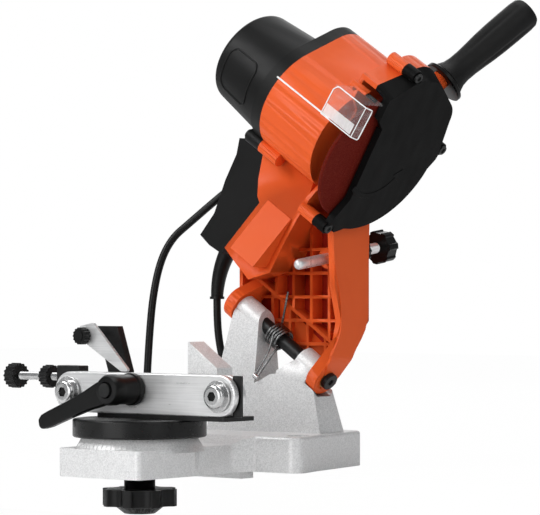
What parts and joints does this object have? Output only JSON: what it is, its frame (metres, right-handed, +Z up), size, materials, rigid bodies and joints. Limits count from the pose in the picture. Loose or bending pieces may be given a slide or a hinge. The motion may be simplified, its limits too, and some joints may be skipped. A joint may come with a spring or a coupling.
{
  "type": "bench chain grinder",
  "caption": "Bench grinder for saw chains: tilting motor head with a guarded wheel on a cast base, with a swivelling chain vise, stop pawl and power cord.",
  "frame": {"origin": "on the mounting face under the base, midway between the two bench holes", "axes": "+X to the operator's right, +Y away from the operator, +Z up"},
  "size_m": [0.3764, 0.3052, 0.3784],
  "materials": {
    "cast_aluminium": "sand-cast and bead-blasted silver",
    "orange_shell": "fine-grained orange moulding",
    "black_shell": "fine-grained black moulding",
    "black_gloss": "smooth black moulding",
    "steel_plate": "bright brushed plate",
    "zinc_steel": "zinc-plated",
    "black_steel": "black oxide",
    "spring_steel": "oiled spring wire",
    "milled_aluminium": "milled, light satin",
    "clear_plastic": "clear moulded polycarbonate",
    "red_abrasive": "resin-bonded dark red abrasive",
    "core_steel": "ground steel laminations",
    "winding_copper": "varnished copper",
    "bush_bronze": "sintered bronze",
    "carbon": "pressed carbon",
    "cord_black": "smooth black cord sheath",
    "pin_brass": "bright plug pins"
  },
  "bodies": {
    "base": {"base_casting": "cast_aluminium", "hinge_shaft": "black_steel", "hinge_screws": "black_steel", "return_spring": "spring_steel", "power_cord": "cord_black", "cord_coil": "cord_black", "plug": "cord_black", "plug_pins": "pin_brass"},
    "turntable": {"turntable_disc": "black_shell", "pivot_stud": "zinc_steel", "vise_bracket": "steel_plate", "rear_rail": "steel_plate", "rail_spacers": "zinc_steel", "rail_washers": "zinc_steel", "rail_screws": "zinc_steel", "wedge_block": "milled_aluminium", "stop_block": "black_steel", "clamp_bolt": "zinc_steel"},
    "jaw": {"front_rail": "steel_plate"},
    "lever": {"clamp_lever": "black_gloss", "lever_cap_screw": "zinc_steel"},
    "carriage": {"stop_carriage": "milled_aluminium"},
    "pawl": {"stop_pawl": "steel_plate", "pawl_knob": "black_gloss"},
    "stop_feed": {"stop_screw": "black_gloss"},
    "stop_lock": {"stop_lock_nut": "black_gloss"},
    "table_lock": {"lock_knob": "black_shell"},
    "head": {"housing": "orange_shell", "arm_shell": "black_shell", "motor_cap": "black_shell", "closing_screws": "zinc_steel", "guard_cover": "black_shell", "guard_screws": "black_steel", "handle_ring": "black_gloss", "handle_grip": "black_shell", "handle_bolt": "zinc_steel", "strain_relief": "cord_black", "hinge_bushes": "bush_bronze", "bearings": "core_steel", "stator": "core_steel", "field_coils": "winding_copper", "brush_holders": "bush_bronze", "brushes": "carbon", "switch_body": "black_gloss", "spring_arm": "spring_steel", "visor_pin": "black_gloss"},
    "spindle": {"armature": "core_steel", "fan": "black_gloss", "wheel_flange": "zinc_steel", "grinding_wheel": "red_abrasive", "flange_nut": "zinc_steel"},
    "visor": {"visor": "clear_plastic"},
    "depth_stop": {"depth_stop_screw": "zinc_steel"},
    "depth_lock": {"depth_stop_nut": "black_gloss"},
    "rocker": {"rocker_switch": "black_gloss"}
  },
  "joints": [
    {"name": "table_swivel", "type": "hinge", "parent": "base", "child": "turntable", "pos_m": [0, -0.097, 0.03], "axis": [0, 0, 1], "range_deg": [-35, 35]},
    {"name": "lock_turn", "type": "hinge", "parent": "base", "child": "table_lock", "pos_m": [0, -0.097, -0.015], "axis": [0, 0, 1], "range_deg": [-180, 180]},
    {"name": "lever_turn", "type": "hinge", "parent": "turntable", "child": "lever", "pos_m": [0, -0.11, 0.061], "axis": [0, 1, 0], "range_deg": [0, 60]},
    {"name": "jaw_close", "type": "slide", "parent": "turntable", "child": "jaw", "axis": [0, 1, 0], "range_m": [0, 0.0006]},
    {"name": "stop_travel", "type": "slide", "parent": "turntable", "child": "carriage", "axis": [1, 0, 0], "range_m": [-0.003, 0.003]},
    {"name": "stop_feed_turn", "type": "hinge", "parent": "carriage", "child": "stop_feed", "pos_m": [-0.1, -0.0815, 0.0675], "axis": [1, 0, 0], "range_deg": [-1080, 1080]},
    {"name": "stop_lock_turn", "type": "hinge", "parent": "turntable", "child": "stop_lock", "pos_m": [-0.095, -0.0815, 0.0675], "axis": [1, 0, 0], "range_deg": [-180, 180]},
    {"name": "pawl_flip", "type": "hinge", "parent": "carriage", "child": "pawl", "pos_m": [-0.052, -0.097, 0.098], "axis": [0, -1, 0], "range_deg": [0, 30]},
    {"name": "head_hinge", "type": "hinge", "parent": "base", "child": "head", "pos_m": [0, 0.047, 0.1028], "axis": [0.829, 0, -0.5592], "range_deg": [0, 74], "stiffness_Nm_per_rad": 1.6, "springref_deg": -57.3},
    {"name": "spindle_spin", "type": "hinge", "parent": "head", "child": "spindle", "pos_m": [0.08947, 0.047, 0.23545], "axis": [0.829, 0, -0.5592], "continuous": true},
    {"name": "visor_tilt", "type": "hinge", "parent": "head", "child": "visor", "pos_m": [0.12066, 0.0115, 0.26917], "axis": [-0.829, 0, 0.5592], "range_deg": [0, 80]},
    {"name": "depth_feed", "type": "slide", "parent": "head", "child": "depth_stop", "axis": [0, 0.9903, 0.1392], "range_m": [-0.018, 0.02]},
    {"name": "depth_lock_turn", "type": "hinge", "parent": "head", "child": "depth_lock", "pos_m": [0.05, 0.08885, 0.15926], "axis": [0, 0.9903, 0.1392], "range_deg": [-180, 180]},
    {"name": "rocker_press", "type": "hinge", "parent": "head", "child": "rocker", "pos_m": [-0.04799, 0.06, 0.17837], "axis": [0.6587, 0, 0.7524], "range_deg": [-8, 8]}
  ],
  "couplings": [
    {"joint": "lever_turn", "follows": "jaw_close", "rad_per_m": 1745.3},
    {"joint": "stop_feed_turn", "follows": "stop_travel", "rad_per_m": 6283.2}
  ]
}
